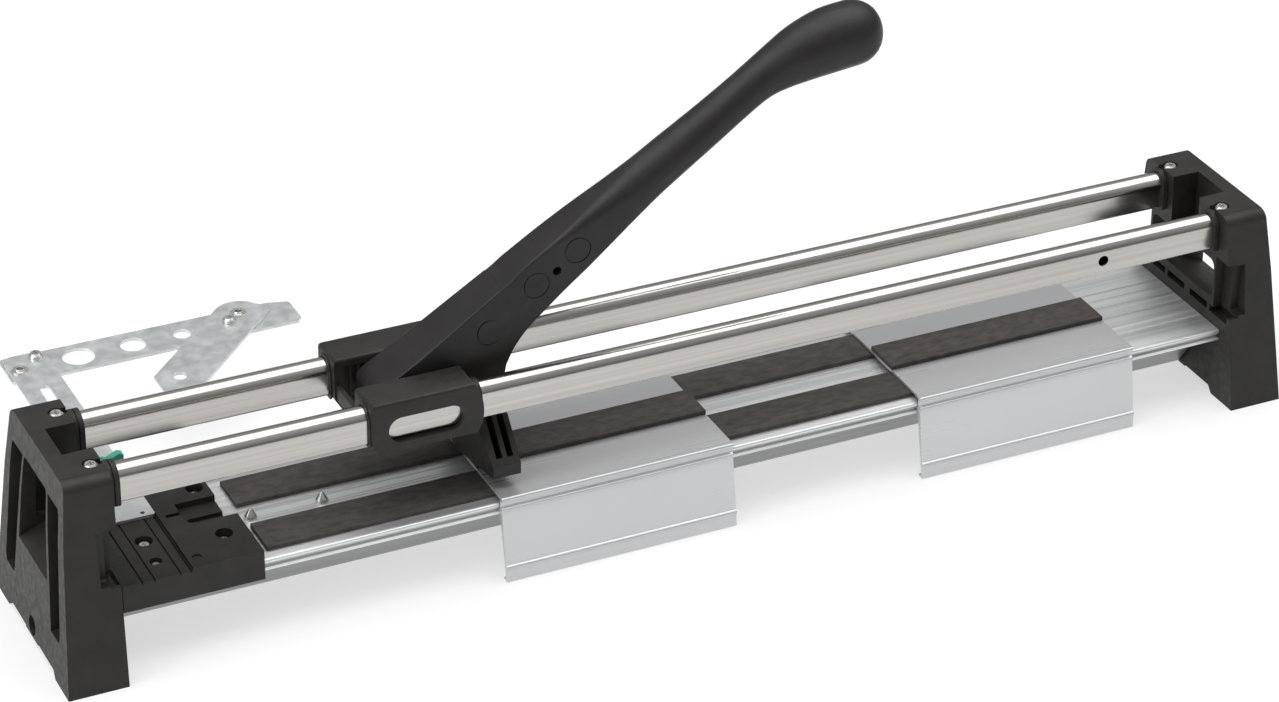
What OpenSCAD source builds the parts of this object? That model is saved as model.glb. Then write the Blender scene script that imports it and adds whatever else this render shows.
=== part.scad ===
// Manual tile cutter: an aluminium deck between two moulded stands, two steel rails,
// and a sliding carriage with a lever that scores the tile and then breaks it.
// Frame: X along the rails, Z up, near side at -Y. The origin lies on the ground,
// in the middle between the stands and between the rails.

/* [Overall] */
// Length over the feet of both stands
overall_len = 800; // [760:1:1000]
// Distance of each rail's middle from the centre plane
rail_y = 30; // [30:0.5:33]

/* [Deck extrusion] */
// Half width of the deck over its side beads
deck_half_w = 47; // [44:0.5:50]
// Height of the deck's top face above the ground
deck_top = 49; // [46:0.5:52]
// Thickness of the deck's top skin
deck_skin = 3; // [2:0.1:4]
// Height of the slot along each side of the deck
side_slot_h = 2.4; // [2:0.1:3]
// Thickness of the lip under the side slot
side_lip_h = 2; // [1.5:0.1:2.5]
// Depth of the side slot
side_slot_depth = 2.5; // [2:0.1:3]
// Wall of the keel under the deck
keel_wall = 2; // [1.5:0.1:3]
// Half width of the keel where it meets the deck
keel_half_w = 30; // [24:1:34]
// Radius of the keel's rounded bottom, which holds the end screws
keel_r = 7.5; // [6:0.1:8.5]
// Height of the end screws above the ground
keel_screw_z = 10.5; // [10:0.1:12]

/* [Rubber pads] */
// Thickness of the pads on the deck
base_pad_h = 3; // [2:0.1:4]
// Width of the pads on the deck
base_pad_w = 27.5; // [20:0.5:30]
// Inner edge of the pads on the deck
base_pad_y = 11.3; // [9:0.1:13]
// Length of the pads on the deck
base_pad_len = 500; // [300:1:560]

/* [Rails] */
// Width of a rail tube
rail_w = 15; // [13:0.5:16]
// Height of a rail tube
rail_h = 21.5; // [20:0.5:24]
// Wall of a rail tube
rail_wall = 1.5; // [1:0.1:2.5]
// Underside of the rails above the ground
rail_z = 103; // [100:0.5:108]
// Length of each rail inside its stand's socket
rail_seat = 16; // [12:0.5:17]

/* [Stands] */
// Depth of a stand at the ground, along the rails
stand_depth = 35.8; // [34:0.1:42]
// Depth of a stand at the top
stand_top_depth = 28; // [26:0.1:30]
// Lean of the outer face from the ground to the top
stand_lean = 11; // [8:0.1:11.5]
// Half width of a stand at the ground
stand_foot_half_w = 66; // [60:0.5:72]
// Half width of a stand at the top
stand_top_half_w = 47; // [45:0.5:52]
// Plastic over the rails
stand_roof = 3.5; // [3:0.1:5]
// Wall of the moulding
stand_wall = 3; // [2.5:0.1:4]
// Half width of the hand opening
portal_half_w = 20; // [14:0.5:20]
// Sill of the hand opening at the outer face
portal_sill = 55; // [52:0.5:60]
// Foot height under the middle of the stand
foot_arch = 4.5; // [2:0.1:6]

/* [End block] */
// Length of the block along the deck
block_len = 84.4; // [80:0.1:100]
// Side wall of the block outside the deck
block_wall = 2; // [1.5:0.1:3]
// Thickness of the block over the deck, at its raised part
block_h = 8; // [7:0.1:10]
// Depth of the guide for the stop bar
guide_depth = 2; // [1.5:0.1:2.5]
// How far the block wraps down below the deck's top
block_skirt = 11.2; // [8:0.1:16]
// Bore of the counterbored screw holes
block_bore_d = 10.5; // [9:0.1:11]

/* [Stop] */
// Thickness of the stop's steel plates
plate_t = 2; // [1.5:0.1:2.2]
// Width of the stop bar
bar_w = 27.5; // [24:0.5:29]
// Length of the stop bar
bar_len = 204.5; // [190:0.5:240]
// Distance of the bar's near end behind the centre plane
bar_y = 13.5; // [5:0.5:16]
// Width of the slot in the bar
bar_slot_w = 6.4; // [6.2:0.1:8]
// Length of the fence arm
fence_len = 188.5; // [175:0.5:210]
// Width of the fence arm
fence_w = 31; // [28:0.5:36]
// Length of the mitre arm from pivot to tip
mitre_len = 94; // [80:1:100]
// Width of the mitre arm
mitre_w = 32; // [28:0.5:34]
// Angle of the mitre arm away from the fence
mitre_angle = 45; // [40:1:50]

/* [Carriage] */
// Middle of the carriage along the rails
carriage_x = -170.5; // [-180:0.5:-150]
// Length of the shoes on the rails
shoe_len = 69.5; // [68:0.5:71]
// Outer face of the shoes from the centre plane
shoe_out_y = 41; // [41:0.1:42]
// Inner face of the shoes from the centre plane
shoe_in_y = 16; // [16:0.1:18]
// Top wall of the shoes over the liners
shoe_roof = 3.3; // [2.5:0.1:4]
// Height of the window in each shoe
window_h = 16.2; // [14:0.1:16.6]
// Length of the window in each shoe
window_len = 46.6; // [40:0.1:48]
// Wall of the glide liners
liner_t = 1.2; // [1:0.05:1.2]

/* [Lever] */
// Width of the lever at its hub
lever_hub_w = 31; // [28:0.5:31]
// Width of the lever where the arm begins
lever_arm_w = 24.8; // [22:0.1:28]
// Radius of the round neck where it begins
neck_r = 13.8; // [12.5:0.1:14.5]
// Radius of the neck where the grip begins
neck_end_r = 12.2; // [11:0.1:13]
// Radius of the bulb at the end of the grip
bulb_r = 19.4; // [17:0.1:21]
// Diameter of the pivot pin
pin_d = 8; // [6:0.1:8.2]
// Diameter of the hanging hole in the arm
arm_hole_d = 5.5; // [4:0.1:8]
// Half width of the breaker foot over its tips
foot_half_w = 40.6; // [36:0.2:43]
// Thickness of the foot's tips
foot_tip_h = 7.5; // [6:0.1:8]
// Lowest point of the foot above the ground, lever at rest
foot_z = 62; // [61.5:0.1:66]

/* [Cutting wheel] */
// Diameter of the cutting wheel
wheel_d = 22; // [16:0.5:22]
// Thickness of the cutting wheel
wheel_t = 2; // [1.6:0.1:2.4]
// Diameter of the wheel's axle
axle_d = 5; // [4:0.1:6]

/* [Extensions] */
// Length of each extension along the deck
ext_len = 150; // [120:1:155]
// Left edge of the left extension
ext_left_x = -129.2; // [-135:0.1:-125]
// Gap between the right extension and the right stand
ext_right_gap = 66.7; // [55:0.1:75]
// Thickness of the extension's walls
ext_t = 1.6; // [1.2:0.1:2]
// Thickness of the rubber pad on each extension
ext_pad_h = 3; // [2:0.1:3.6]
// Width of the rubber pad on each extension
ext_pad_w = 27; // [20:0.5:34]
// Lean of the side panels, top to bottom
ext_flare = 7.5; // [4:0.1:12]

/* [Hidden] */
$fn = 64;
eps = 0.01;
slide_gap = 0.3;       // between pieces that slide on each other
plate_gap = 0.1;       // between the stop's stacked plates
seat_gap = 0.02;       // round a piece that sits still in a bore
run_gap = 0.05;        // radial gap of a turning fit
far = 2000;            // longer than anything here

// Heights
rail_top = rail_z + rail_h;
stand_h = rail_top + stand_roof;
pad_top = deck_top + base_pad_h;
ext_z = pad_top + slide_gap;
ext_top = ext_z + ext_t;
block_top = deck_top + block_h;
guide_z = block_top - guide_depth;
bar_z = guide_z + 0.2;
fence_z = bar_z - plate_gap - plate_t;
slot_top = deck_top - deck_skin;
slot_low = slot_top - side_slot_h;
lip_low = slot_low - side_lip_h;

// Places along the rails
half_len = overall_len / 2;
stand_in_x = half_len - stand_depth;
stand_top_in_x = half_len - stand_lean - stand_top_depth;
deck_half_len = stand_in_x - (stand_in_x - stand_top_in_x) * deck_top / stand_h - 0.1;
rail_half_len = stand_top_in_x + rail_seat;
ext_right_x = stand_in_x - ext_right_gap - ext_len;
rail_screw_x = stand_top_in_x + 6.7;

// Rail bumpers
bumper_t = 2;
bumper_ring = 3;
bumper_gap = 0.8;

// Screws
pan_d = 8.5;
pan_h = 3;
rail_screw_d = 4.8;
keel_screw_d = 5.8;
keel_head_d = 10;
keel_head_h = 4;
keel_recess_d = 12;
keel_wall_x = 7.8;

// End block
block_x0 = -stand_in_x + 4.6;
block_x1 = block_x0 + block_len;
block_y = deck_half_w + block_wall;
step_x = block_x0 + 41.8;
bar_x1 = step_x - slide_gap;
bar_x0 = bar_x1 - bar_w;
bar_mid_x = bar_x1 - bar_w / 2;
knob_y = block_y + 20;
lug_y1 = knob_y + 12;
block_screw_at = [
    [block_x1 - 14.3, -22.3, block_bore_d],
    [block_x1 - 13.3, 30.2, block_bore_d],
    [step_x - 15.1, -8.5, block_bore_d],
    [step_x - 15.8, -31, 7.3]
];
block_screw_d = 4;
block_screw_len = 6.5;
block_head_d = 7.6;
block_floor = 1.5;     // plastic left under a screw head
stud_d = 6;
groove_w = 1;
mouth_r = 5.5;         // half width of the mouth's deep channel

// Stop
bar_y1 = bar_y + bar_len;
fence_y0 = bar_y1 - fence_w + 2.5;
fence_pivot = [bar_x1 - 7, bar_y1 - 6];
fence_nut = [bar_x0 + 6.5, bar_y1 - 18.5];
fence_x0 = bar_x0 - 1;
mitre_pivot = [fence_x0 + fence_len - 44, fence_y0 + 15];
mitre_nut = mitre_pivot + [8.5, 7.4];
mitre_side = 1.5;      // the mitre arm lies this far off its pivot's line
stop_pin_d = 5;
stop_nut_d = 10.4;
stop_nut_core_d = 6.6;
stop_nut_bore_d = 3.8;
slot_y0 = knob_y - 9;
slot_y1 = bar_y1 - 41.5;
fence_holes = [[46.5, 20], [81.5, 16], [113.5, 11]];

// Carriage
shoe_x0 = carriage_x - shoe_len / 2;
bore_w = rail_w + 2 * (slide_gap + liner_t);
bore_z = rail_z - slide_gap - liner_t;
bore_top = rail_top + slide_gap + liner_t;
web_t = 3;             // web between the shoes
web_h = 9;
shoe_top = bore_top + shoe_roof;
shoe_floor_out = bore_z - 4.5;
shoe_floor_in = bore_z - 8;
window_z = rail_z + 7.4;
window_x0 = shoe_x0 + 10.6;

// Lever and what it carries, measured from this point; the pivot lies under it
lever_at = [carriage_x + 16.5, rail_z + 14.5];
pivot = [lever_at.x, window_z];
pin_len = 2 * (rail_y - bore_w / 2) - 0.4;
heel_z = lever_at.y - 23.5;
foot_top = heel_z;
wheel_at = lever_at + [-24, -36.5];
tang_half_w = 5;
holder_bolt_at = lever_at + [-24, -6];
foot_screw_x = lever_at.x + 30;
foot_x1 = lever_at.x + 41.5;

// ---------- helpers ----------

// A shape drawn in Y and Z, extruded along X from x0
module along_x(x0, len) {
    translate([x0, 0, 0]) rotate([90, 0, 90]) linear_extrude(len) children();
}

// A shape drawn in X and Z, extruded along Y from y0
module along_y(y0, len) {
    translate([0, y0 + len, 0]) rotate([90, 0, 0]) linear_extrude(len) children();
}

// A copy on each side of the centre plane
module both_sides() {
    children();
    mirror([0, 1, 0]) children();
}

// A rectangle with round corners
module round_rect(x0, y0, w, h, r) {
    translate([x0 + r, y0]) square([w - 2 * r, h]);
    translate([x0, y0 + r]) square([w, h - 2 * r]);
    for (cx = [x0 + r, x0 + w - r], cy = [y0 + r, y0 + h - r])
        translate([cx, cy]) circle(r);
}

// A slot with round ends between two points on one line along x
module slot_2d(x0, x1, y, w) {
    translate([x0 + w / 2, y - w / 2]) square([x1 - x0 - w, w]);
    for (x = [x0 + w / 2, x1 - w / 2]) translate([x, y]) circle(d = w);
}

// Rail section: flat sides and bottom, half round top
module rail_2d(w, z0, z1, r = 1.5) {
    translate([0, z1 - w / 2]) circle(d = w);
    translate([-w / 2, z0 + r]) square([w, z1 - z0 - w / 2 - r]);
    translate([-w / 2 + r, z0]) square([w - 2 * r, z1 - z0 - w / 2]);
    for (s = [-1, 1]) translate([s * (w / 2 - r), z0 + r]) circle(r);
}

// Pan head screw along -Z: head bottom at the origin, cross recess in the head
module pan_screw(d, len, head_d, head_h) {
    difference() {
        union() {
            cylinder(h = head_h * 0.55, d = head_d);
            translate([0, 0, head_h * 0.55])
                cylinder(h = head_h * 0.45, d1 = head_d, d2 = head_d * 0.72);
        }
        for (a = [0, 90]) rotate(a) translate([-head_d * 0.27, -head_d * 0.06, head_h * 0.45])
            cube([head_d * 0.54, head_d * 0.12, head_h]);
    }
    translate([0, 0, -len]) cylinder(h = len, d = d);
}

// ---------- deck ----------

// Points on an arc round c, from angle a0 to a1
function arc(c, r, a0, a1, n = 6) = [for (k = [0:n]) c + r * [cos(a0 + (a1 - a0) * k / n), sin(a0 + (a1 - a0) * k / n)]];

// Where the keel's slanted side meets its round bottom, and the side's run in y for 1 mm of height
keel_drop = [keel_half_w, lip_low - keel_screw_z];
keel_meet = atan2(keel_drop.y, keel_drop.x) - acos(keel_r / norm(keel_drop));
keel_run = (keel_half_w - keel_r * cos(keel_meet)) / (keel_drop.y - keel_r * sin(keel_meet));
keel_wall_y = keel_wall * sqrt(1 + keel_run * keel_run);
function keel_hollow_y(z) = keel_half_w - keel_run * (lip_low - z) - keel_wall_y;

// A closed outline from its +y half, listed from the top middle to the bottom middle
module mirrored_outline(half) {
    last = len(half) - 1;
    polygon([for (p = half) p, for (k = [last:-1:0]) if (half[k].x > 0) [-half[k].x, half[k].y]]);
}

module deck_2d() {
    edge_y = deck_half_w - side_slot_depth;
    bead = deck_skin / 2;
    lip_r = 0.6;
    hollow_low = keel_screw_z + keel_r;
    difference() {
        // skin with a rounded bead, edge slot, lip, slanted keel side, round keel bottom
        mirrored_outline(concat(
            [[0, deck_top]],
            arc([deck_half_w - bead, deck_top - bead], bead, 90, -90),
            [[edge_y, slot_top], [edge_y, slot_low], [deck_half_w - lip_r, slot_low],
             [deck_half_w, slot_low - lip_r], [deck_half_w, lip_low + lip_r], [deck_half_w - lip_r, lip_low],
             [keel_half_w, lip_low]],
            arc([0, keel_screw_z], keel_r, keel_meet, -90)
        ));
        // keel hollow, up to the skin
        mirrored_outline([[0, slot_top], [keel_hollow_y(lip_low), slot_top], [keel_hollow_y(lip_low), lip_low],
                          [keel_hollow_y(hollow_low), hollow_low], [0, hollow_low]]);
        // edge chambers
        for (s = [-1, 1]) translate([s * (keel_half_w + edge_y) / 2, (slot_top + slot_low) / 2])
            square([edge_y - keel_half_w - 4, side_slot_h], center = true);
        // screw port at each end
        translate([0, keel_screw_z]) circle(d = keel_screw_d + 2 * seat_gap);
        // fine lines along the top
        for (y = [-25, -16.5, -5, -2.5, 4, 8, 16.5, 25]) translate([y, deck_top])
            square([0.9, 0.8], center = true);
    }
}

module deck() color([0.74, 0.75, 0.76]) difference() {
    along_x(-deck_half_len, 2 * deck_half_len) deck_2d();
    for (p = block_screw_at) translate([p.x, p.y, slot_low - 1])
        cylinder(h = far / 10, d = block_screw_d + 2 * seat_gap);
    for (x = centre_screw_x) translate([x, centre_screw_y, slot_low - 1])
        cylinder(h = far / 10, d = block_screw_d + 2 * seat_gap);
}

centre_screw_x = [block_x1 + 9.5, block_x1 + 53.5];
centre_screw_y = -1;
centre_screw_h = 6;

module centre_screws() color([0.72, 0.72, 0.7]) for (x = centre_screw_x)
    translate([x, centre_screw_y, deck_top]) {
        translate([0, 0, 1]) cylinder(h = centre_screw_h - 1, d1 = pan_d * 0.9, d2 = 1.6);
        cylinder(h = 1, d = pan_d * 0.9);
        translate([0, 0, -5]) cylinder(h = 5, d = block_screw_d);
    }

module base_pad(side) color([0.27, 0.26, 0.26]) along_x(block_x1 + 5.2, base_pad_len)
    round_rect(side < 0 ? -base_pad_y - base_pad_w : base_pad_y, deck_top, base_pad_w, base_pad_h, 0.5);

// ---------- rails ----------

module rail(side) difference() {
    translate([0, side * rail_y, 0]) along_x(-rail_half_len, 2 * rail_half_len) difference() {
        rail_2d(rail_w, rail_z, rail_top);
        rail_2d(rail_w - 2 * rail_wall, rail_z + rail_wall, rail_top - rail_wall, 0.5);
    }
    for (s = [-1, 1]) translate([s * rail_screw_x, side * rail_y, rail_top - 2 * rail_wall])
        cylinder(h = 4 * rail_wall, d = rail_screw_d + 2 * seat_gap);
}

rail_stop_hole_x = rail_half_len - 98;
rail_stop_hole_d = 7;

module rail_near() color([0.78, 0.77, 0.75]) difference() {
    rail(-1);
    translate([rail_stop_hole_x, -rail_y, rail_z + 9.7]) rotate([90, 0, 0])
        cylinder(h = rail_w, d = rail_stop_hole_d);
}

module rail_far() color([0.78, 0.77, 0.75]) rail(1);

module bumper(rings) {
    step = bumper_ring + bumper_gap;
    difference() {
        union() {
            for (k = [0:rings - 1]) along_x(k * step, bumper_ring)
                rail_2d(rail_w + 2 * bumper_t, rail_z - bumper_t, rail_top + bumper_t, 3);
            along_x(0, (rings - 1) * step + bumper_ring)
                rail_2d(rail_w + bumper_t, rail_z - bumper_t / 2, rail_top + bumper_t / 2, 2);
        }
        along_x(-1, 2 * step + 2) rail_2d(rail_w + 2 * seat_gap, rail_z - seat_gap, rail_top + seat_gap);
    }
}

module rail_bumpers() color([0.06, 0.06, 0.06]) for (s = [0, 1], side = [-1, 1])
    mirror([s, 0, 0]) translate([-stand_top_in_x + 0.05, side * rail_y, 0]) bumper(2 - s);

module rail_screws() color([0.8, 0.8, 0.8]) for (sx = [-1, 1], sy = [-1, 1])
    translate([sx * rail_screw_x, sy * rail_y, stand_h - pan_h])
        pan_screw(rail_screw_d, 8, pan_d, pan_h);

// ---------- stands ----------

// Side view of a stand, without its hollows: X and Z
module stand_side_2d() {
    polygon([[-half_len, 0], [-stand_in_x, 0], [-stand_top_in_x, stand_h],
             [-half_len + stand_lean, stand_h], [-half_len + stand_lean * 0.62, stand_h * 0.7]]);
}

// End view of a stand: Y and Z
module stand_end_2d() {
    r = 7;
    slope = (stand_foot_half_w - stand_top_half_w) / stand_h;
    union() {
        polygon([[-stand_foot_half_w, 0], [stand_foot_half_w, 0],
                 [stand_top_half_w + slope * r, stand_h - r], [-stand_top_half_w - slope * r, stand_h - r]]);
        translate([-stand_top_half_w + r, stand_h - 2 * r]) square([2 * (stand_top_half_w - r), 2 * r]);
        for (s = [-1, 1]) translate([s * (stand_top_half_w + slope * r - r), stand_h - r]) circle(r);
    }
}

// Hand opening from the end, wider at the sill: Y and Z
module portal_2d(z0, z1) {
    r = 3;
    spread = 5.5;
    mirrored_outline(concat([[0, z1]], arc([portal_half_w - r, z1 - r], r, 90, 5, 3),
                            [[portal_half_w + spread, z0], [0, z0]]));
}

// Window of a leg in the outer face: Y and Z
module leg_window_2d() {
    bar = 2.4;
    polygon([[portal_half_w + bar, stand_h - 18], [stand_top_half_w - 7, stand_h - 18],
             [stand_top_half_w - 5.3, stand_h - 21], [stand_foot_half_w - 17.2, 31],
             [stand_foot_half_w - 19, 27], [portal_half_w + bar + 10.6, 27]]);
}

module stand() {
    notch_half_w = 15;
    notch_x = -half_len + stand_lean + 9.9;
    back_wall_x = notch_x - stand_wall;
    leg_floor_x = -stand_in_x - 8;
    sill_in = portal_sill + 12;
    portal_top = stand_h - 17;
    inner_top = rail_z - 10;
    difference() {
        intersection() {
            along_y(-far / 4, far / 2) stand_side_2d();
            along_x(-far / 2, far) stand_end_2d();
        }
        // arch under the middle
        along_x(-far / 2, far) polygon([[-43, -1], [43, -1], [43 - foot_arch, foot_arch], [11, foot_arch],
            [11, foot_arch - 1], [-11, foot_arch - 1], [-11, foot_arch], [-43 + foot_arch, foot_arch]]);
        // hand opening: recess, passage and sloping sill
        intersection() {
            along_x(-far / 2, far) portal_2d(portal_sill - 1, portal_top);
            along_y(-far / 4, far / 2) polygon([
                [-half_len - 1, portal_sill], [-half_len + 4, portal_sill], [-stand_in_x - 5, sill_in],
                [0, sill_in], [0, inner_top], [back_wall_x, inner_top], [back_wall_x, portal_top],
                [-half_len - 1, portal_top]]);
        }
        // wide opening on the inner side, round the hand opening
        along_x(-half_len + 2 * stand_wall + 9, far)
            round_rect(-36, sill_in, 72, inner_top - sill_in, 5);
        // notch between the rail sockets
        translate([notch_x, -notch_half_w, inner_top + 4]) cube([far, 2 * notch_half_w, far]);
        // rail sockets and the screw pockets over them
        for (side = [-1, 1]) translate([0, side * rail_y, 0]) {
            along_x(-rail_half_len - 0.5, far)
                rail_2d(rail_w + 2 * seat_gap, rail_z - seat_gap, rail_top + seat_gap);
            translate([-rail_screw_x, 0, rail_top - 1]) cylinder(h = stand_roof, d = rail_screw_d + 2 * seat_gap);
            translate([-rail_screw_x, 0, stand_h - pan_h]) cylinder(h = far, d = pan_d + 1);
            translate([-rail_screw_x, -3, stand_h - pan_h]) cube([far, 6, far]);
        }
        // leg windows in the outer face, shallower behind the rail sockets
        both_sides() intersection() {
            along_x(-half_len - 1, stand_depth) leg_window_2d();
            along_y(-far / 4, far / 2) polygon([
                [-half_len - 1, 0], [leg_floor_x, 0], [leg_floor_x, inner_top], [-rail_half_len - 2, inner_top],
                [-rail_half_len - 2, stand_h], [-half_len - 1, stand_h]]);
        }
        // shallow recess beside each leg on the inner side, with a deeper pocket in it
        both_sides() along_x(-stand_in_x - 4.5, far)
            polygon([[38, sill_in - 6], [60, sill_in - 6], [57, inner_top + 4], [38, inner_top + 4]]);
        both_sides() along_x(-stand_in_x - 10, far) round_rect(48, sill_in - 5, 9, 34, 2);
        // ribbed cells along the inner crossbar
        for (k = [0:3]) translate([-stand_in_x - 7, -54 + k * 23 + (k > 1 ? 3.5 : 0), deck_top + 7.5])
            cube([far, 20, 4.6]);
        // hollow under the sill, open below
        along_y(-portal_half_w - 4, 2 * portal_half_w + 8)
            polygon([[-half_len + stand_wall + 0.8, -1], [-stand_in_x - keel_wall_x, -1],
                     [-stand_in_x - keel_wall_x, deck_top - 2], [-half_len + stand_wall + 4.8, deck_top - 2]]);
        // end screw: recess and hole
        translate([-half_len - 1, 0, keel_screw_z]) rotate([0, 90, 0])
            cylinder(h = stand_depth - keel_wall_x + 1, d = keel_recess_d);
        translate([-half_len - 1, 0, keel_screw_z]) rotate([0, 90, 0])
            cylinder(h = stand_depth + 2, d = keel_screw_d + 2 * seat_gap);
    }
}

module stand_left() color([0.13, 0.13, 0.13]) stand();

module stand_right() color([0.13, 0.13, 0.13]) mirror([1, 0, 0]) stand();

module keel_screws() color([0.75, 0.75, 0.75]) for (s = [0, 1]) mirror([s, 0, 0])
    translate([-stand_in_x - keel_wall_x, 0, keel_screw_z]) rotate([0, -90, 0])
        pan_screw(keel_screw_d, 28, keel_head_d, keel_head_h);

// ---------- end block and its stop ----------

module end_block() color([0.16, 0.16, 0.16]) difference() {
    union() {
        translate([block_x0, -block_y, deck_top - block_skirt]) cube([block_len, 2 * block_y, block_skirt + block_h]);
        // lug that carries the clamp stud behind the deck
        translate([bar_x0 + 1, 0, deck_top]) cube([bar_w - 2, lug_y1, guide_z - deck_top]);
    }
    // fits over the deck
    translate([-half_len, -deck_half_w - seat_gap, -1]) cube([far, 2 * (deck_half_w + seat_gap), deck_top + 1]);
    // guide for the stop bar, with a groove on both sides of each track
    translate([block_x0 - 1, -far / 2, guide_z]) cube([step_x - block_x0 + 1, far, far]);
    for (x = [12.3, 19.6, 35, 41]) translate([block_x0 + x - groove_w, -block_y - 1, guide_z - 1.2])
        cube([groove_w, 2 * block_y + 2, 5]);
    // right edge steps back beside the mouth
    translate([block_x1 - 5.2, -5, deck_top - eps]) cube([far, far, far]);
    // stepped mouth, open towards the deck
    translate([block_x1 - 30, 3, block_top - 4]) cube([far, 15, far]);
    translate([block_x1 - 38.8, 6, block_top - 4]) cube([far, 3.2, far]);
    translate([block_x1 - 24.3, -mouth_r, block_top - 6.5]) cube([far, 2 * mouth_r, far]);
    translate([block_x1 - 24.3, 0, block_top - 6.5]) cylinder(h = far, r = mouth_r);
    // dimple
    translate([block_x1 - 36.8, -39.5, block_top - 1]) cylinder(h = far, d = 6);
    for (p = block_screw_at) translate([p.x, p.y, 0]) {
        translate([0, 0, deck_top + block_floor]) cylinder(h = far, d = p[2]);
        cylinder(h = far, d = block_screw_d + 2 * seat_gap);
    }
    translate([bar_mid_x, knob_y, 0]) cylinder(h = far, d = stud_d + 2 * seat_gap);
}

module block_screws() color([0.75, 0.75, 0.75]) for (p = block_screw_at)
    translate([p.x, p.y, deck_top + block_floor])
        pan_screw(block_screw_d, block_screw_len, min(block_head_d, p[2] - 1), 2.4);

module clamp_stud() color([0.7, 0.7, 0.7]) translate([bar_mid_x, knob_y, deck_top]) {
    cylinder(h = block_h + plate_t + 5, d = stud_d);
    translate([0, 0, -2]) cylinder(h = 2, d = stud_d + 5);
}

knob_r = 7;
wing_reach = 13.5;
wing_t = 5;
knob_z = bar_z + plate_t + slide_gap;

module clamp_knob() color([0.16, 0.42, 0.36]) translate([bar_mid_x, knob_y, 0]) difference() {
    union() {
        translate([0, 0, knob_z]) cylinder(h = 5.5, r = knob_r);
        translate([0, 0, knob_z + 5.5]) cylinder(h = 1.5, r1 = knob_r, r2 = knob_r - 2);
        along_y(-wing_t / 2, wing_t) polygon([[-wing_reach, knob_z + 5], [-wing_reach, knob_z + 9.5],
            [-wing_reach + 3, knob_z + 10.5], [-3, knob_z + 7], [3, knob_z + 7],
            [wing_reach - 3, knob_z + 10.5], [wing_reach, knob_z + 9.5], [wing_reach, knob_z + 5],
            [5, knob_z + 1], [-5, knob_z + 1]]);
    }
    translate([0, 0, deck_top]) cylinder(h = far, d = stud_d + 2 * run_gap);
}

// Pan screw through two plates, closed by a flat nut below
module stop_screw(at, top_z, grip) translate([at.x, at.y, top_z]) {
    pan_screw(stop_pin_d, grip + 1.6, pan_d, pan_h);
    translate([0, 0, -grip - 2.2]) cylinder(h = 2, d = stop_pin_d + 3);
}

// Threaded rivet nut set in one plate
module rivet_nut(at, top_z) translate([at.x, at.y, top_z]) difference() {
    union() {
        cylinder(h = 0.8, d = stop_nut_d);
        translate([0, 0, 0.8]) cylinder(h = 0.9, d1 = stop_nut_core_d, d2 = stop_nut_core_d - 1.2);
        translate([0, 0, -plate_t]) cylinder(h = plate_t, d = stop_nut_core_d);
    }
    translate([0, 0, -plate_t - 1]) cylinder(h = far / 10, d = stop_nut_bore_d);
}

module plate_hole(at, d) translate([at.x, at.y]) circle(d = d);

module stop_bar() color([0.72, 0.75, 0.77]) translate([0, 0, bar_z]) linear_extrude(plate_t) difference() {
    union() {
        round_rect(bar_x0, bar_y, bar_w, bar_len - 20, 1);
        round_rect(bar_x0, bar_y + 20, bar_w, bar_len - 20, 7);
    }
    translate([bar_mid_x, 0]) rotate(90) slot_2d(slot_y0, slot_y1, 0, bar_slot_w);
    plate_hole(fence_pivot, stop_pin_d + 2 * seat_gap);
    plate_hole(fence_nut, stop_nut_core_d + 2 * seat_gap);
    for (x = [bar_x0 + 3.6, bar_x1 - 6.5]) plate_hole([x, bar_y + 3.6], 2.8);
}

module fence_arm() color([0.72, 0.75, 0.77]) translate([0, 0, fence_z]) linear_extrude(plate_t) difference() {
    x1 = fence_x0 + fence_len;
    y1 = fence_y0 + fence_w;
    polygon([[fence_x0, fence_y0 + 2], [fence_x0 + 2, fence_y0], [x1 - 3, fence_y0 + 2], [x1, fence_y0 + 5],
             [x1, y1 - 5], [x1 - 1.5, y1 - 3.5], [x1 - 14, y1], [fence_x0 + 2, y1], [fence_x0, y1 - 2]]);
    plate_hole(fence_pivot, stop_pin_d + 2 * run_gap);
    for (h = fence_holes) plate_hole([fence_x0 + h.x, fence_y0 + fence_w / 2], h.y);
    plate_hole(mitre_pivot, stop_pin_d + 2 * seat_gap);
}

// The mitre arm runs from its pivot down and back at the mitre angle
module mitre_arm() color([0.74, 0.77, 0.79]) translate([mitre_pivot.x, mitre_pivot.y, bar_z])
    rotate(180 + mitre_angle) linear_extrude(plate_t) difference() {
        w = mitre_w / 2;
        // the far end is a right-angled point, the pivot end is round with one corner
        translate([0, mitre_side]) union() {
            translate([-11, 0]) circle(d = mitre_w);
            polygon([[-11, -w], [mitre_len - w, -w], [mitre_len, 0], [mitre_len - w, w],
                     [-23, w - 0.5], [-27, w - 5], [-26, 0], [-11, 0]]);
        }
        circle(d = stop_pin_d + 2 * run_gap);
        translate([mitre_len - 22.5, 0]) circle(d = 8.5);
        rotate(-180 - mitre_angle) plate_hole(mitre_nut - mitre_pivot, stop_nut_core_d + 2 * seat_gap);
    }

module fence_pivot_screw() color([0.8, 0.8, 0.8])
    stop_screw(fence_pivot, bar_z + plate_t, 2 * plate_t + plate_gap);

module fence_rivet_nut() color([0.8, 0.8, 0.78]) rivet_nut(fence_nut, bar_z + plate_t);

module mitre_pivot_screw() color([0.8, 0.8, 0.8])
    stop_screw(mitre_pivot, bar_z + plate_t + plate_gap, 2 * plate_t + 2 * plate_gap);

module mitre_rivet_nut() color([0.8, 0.8, 0.78]) rivet_nut(mitre_nut, bar_z + plate_t);

// ---------- carriage ----------

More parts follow.
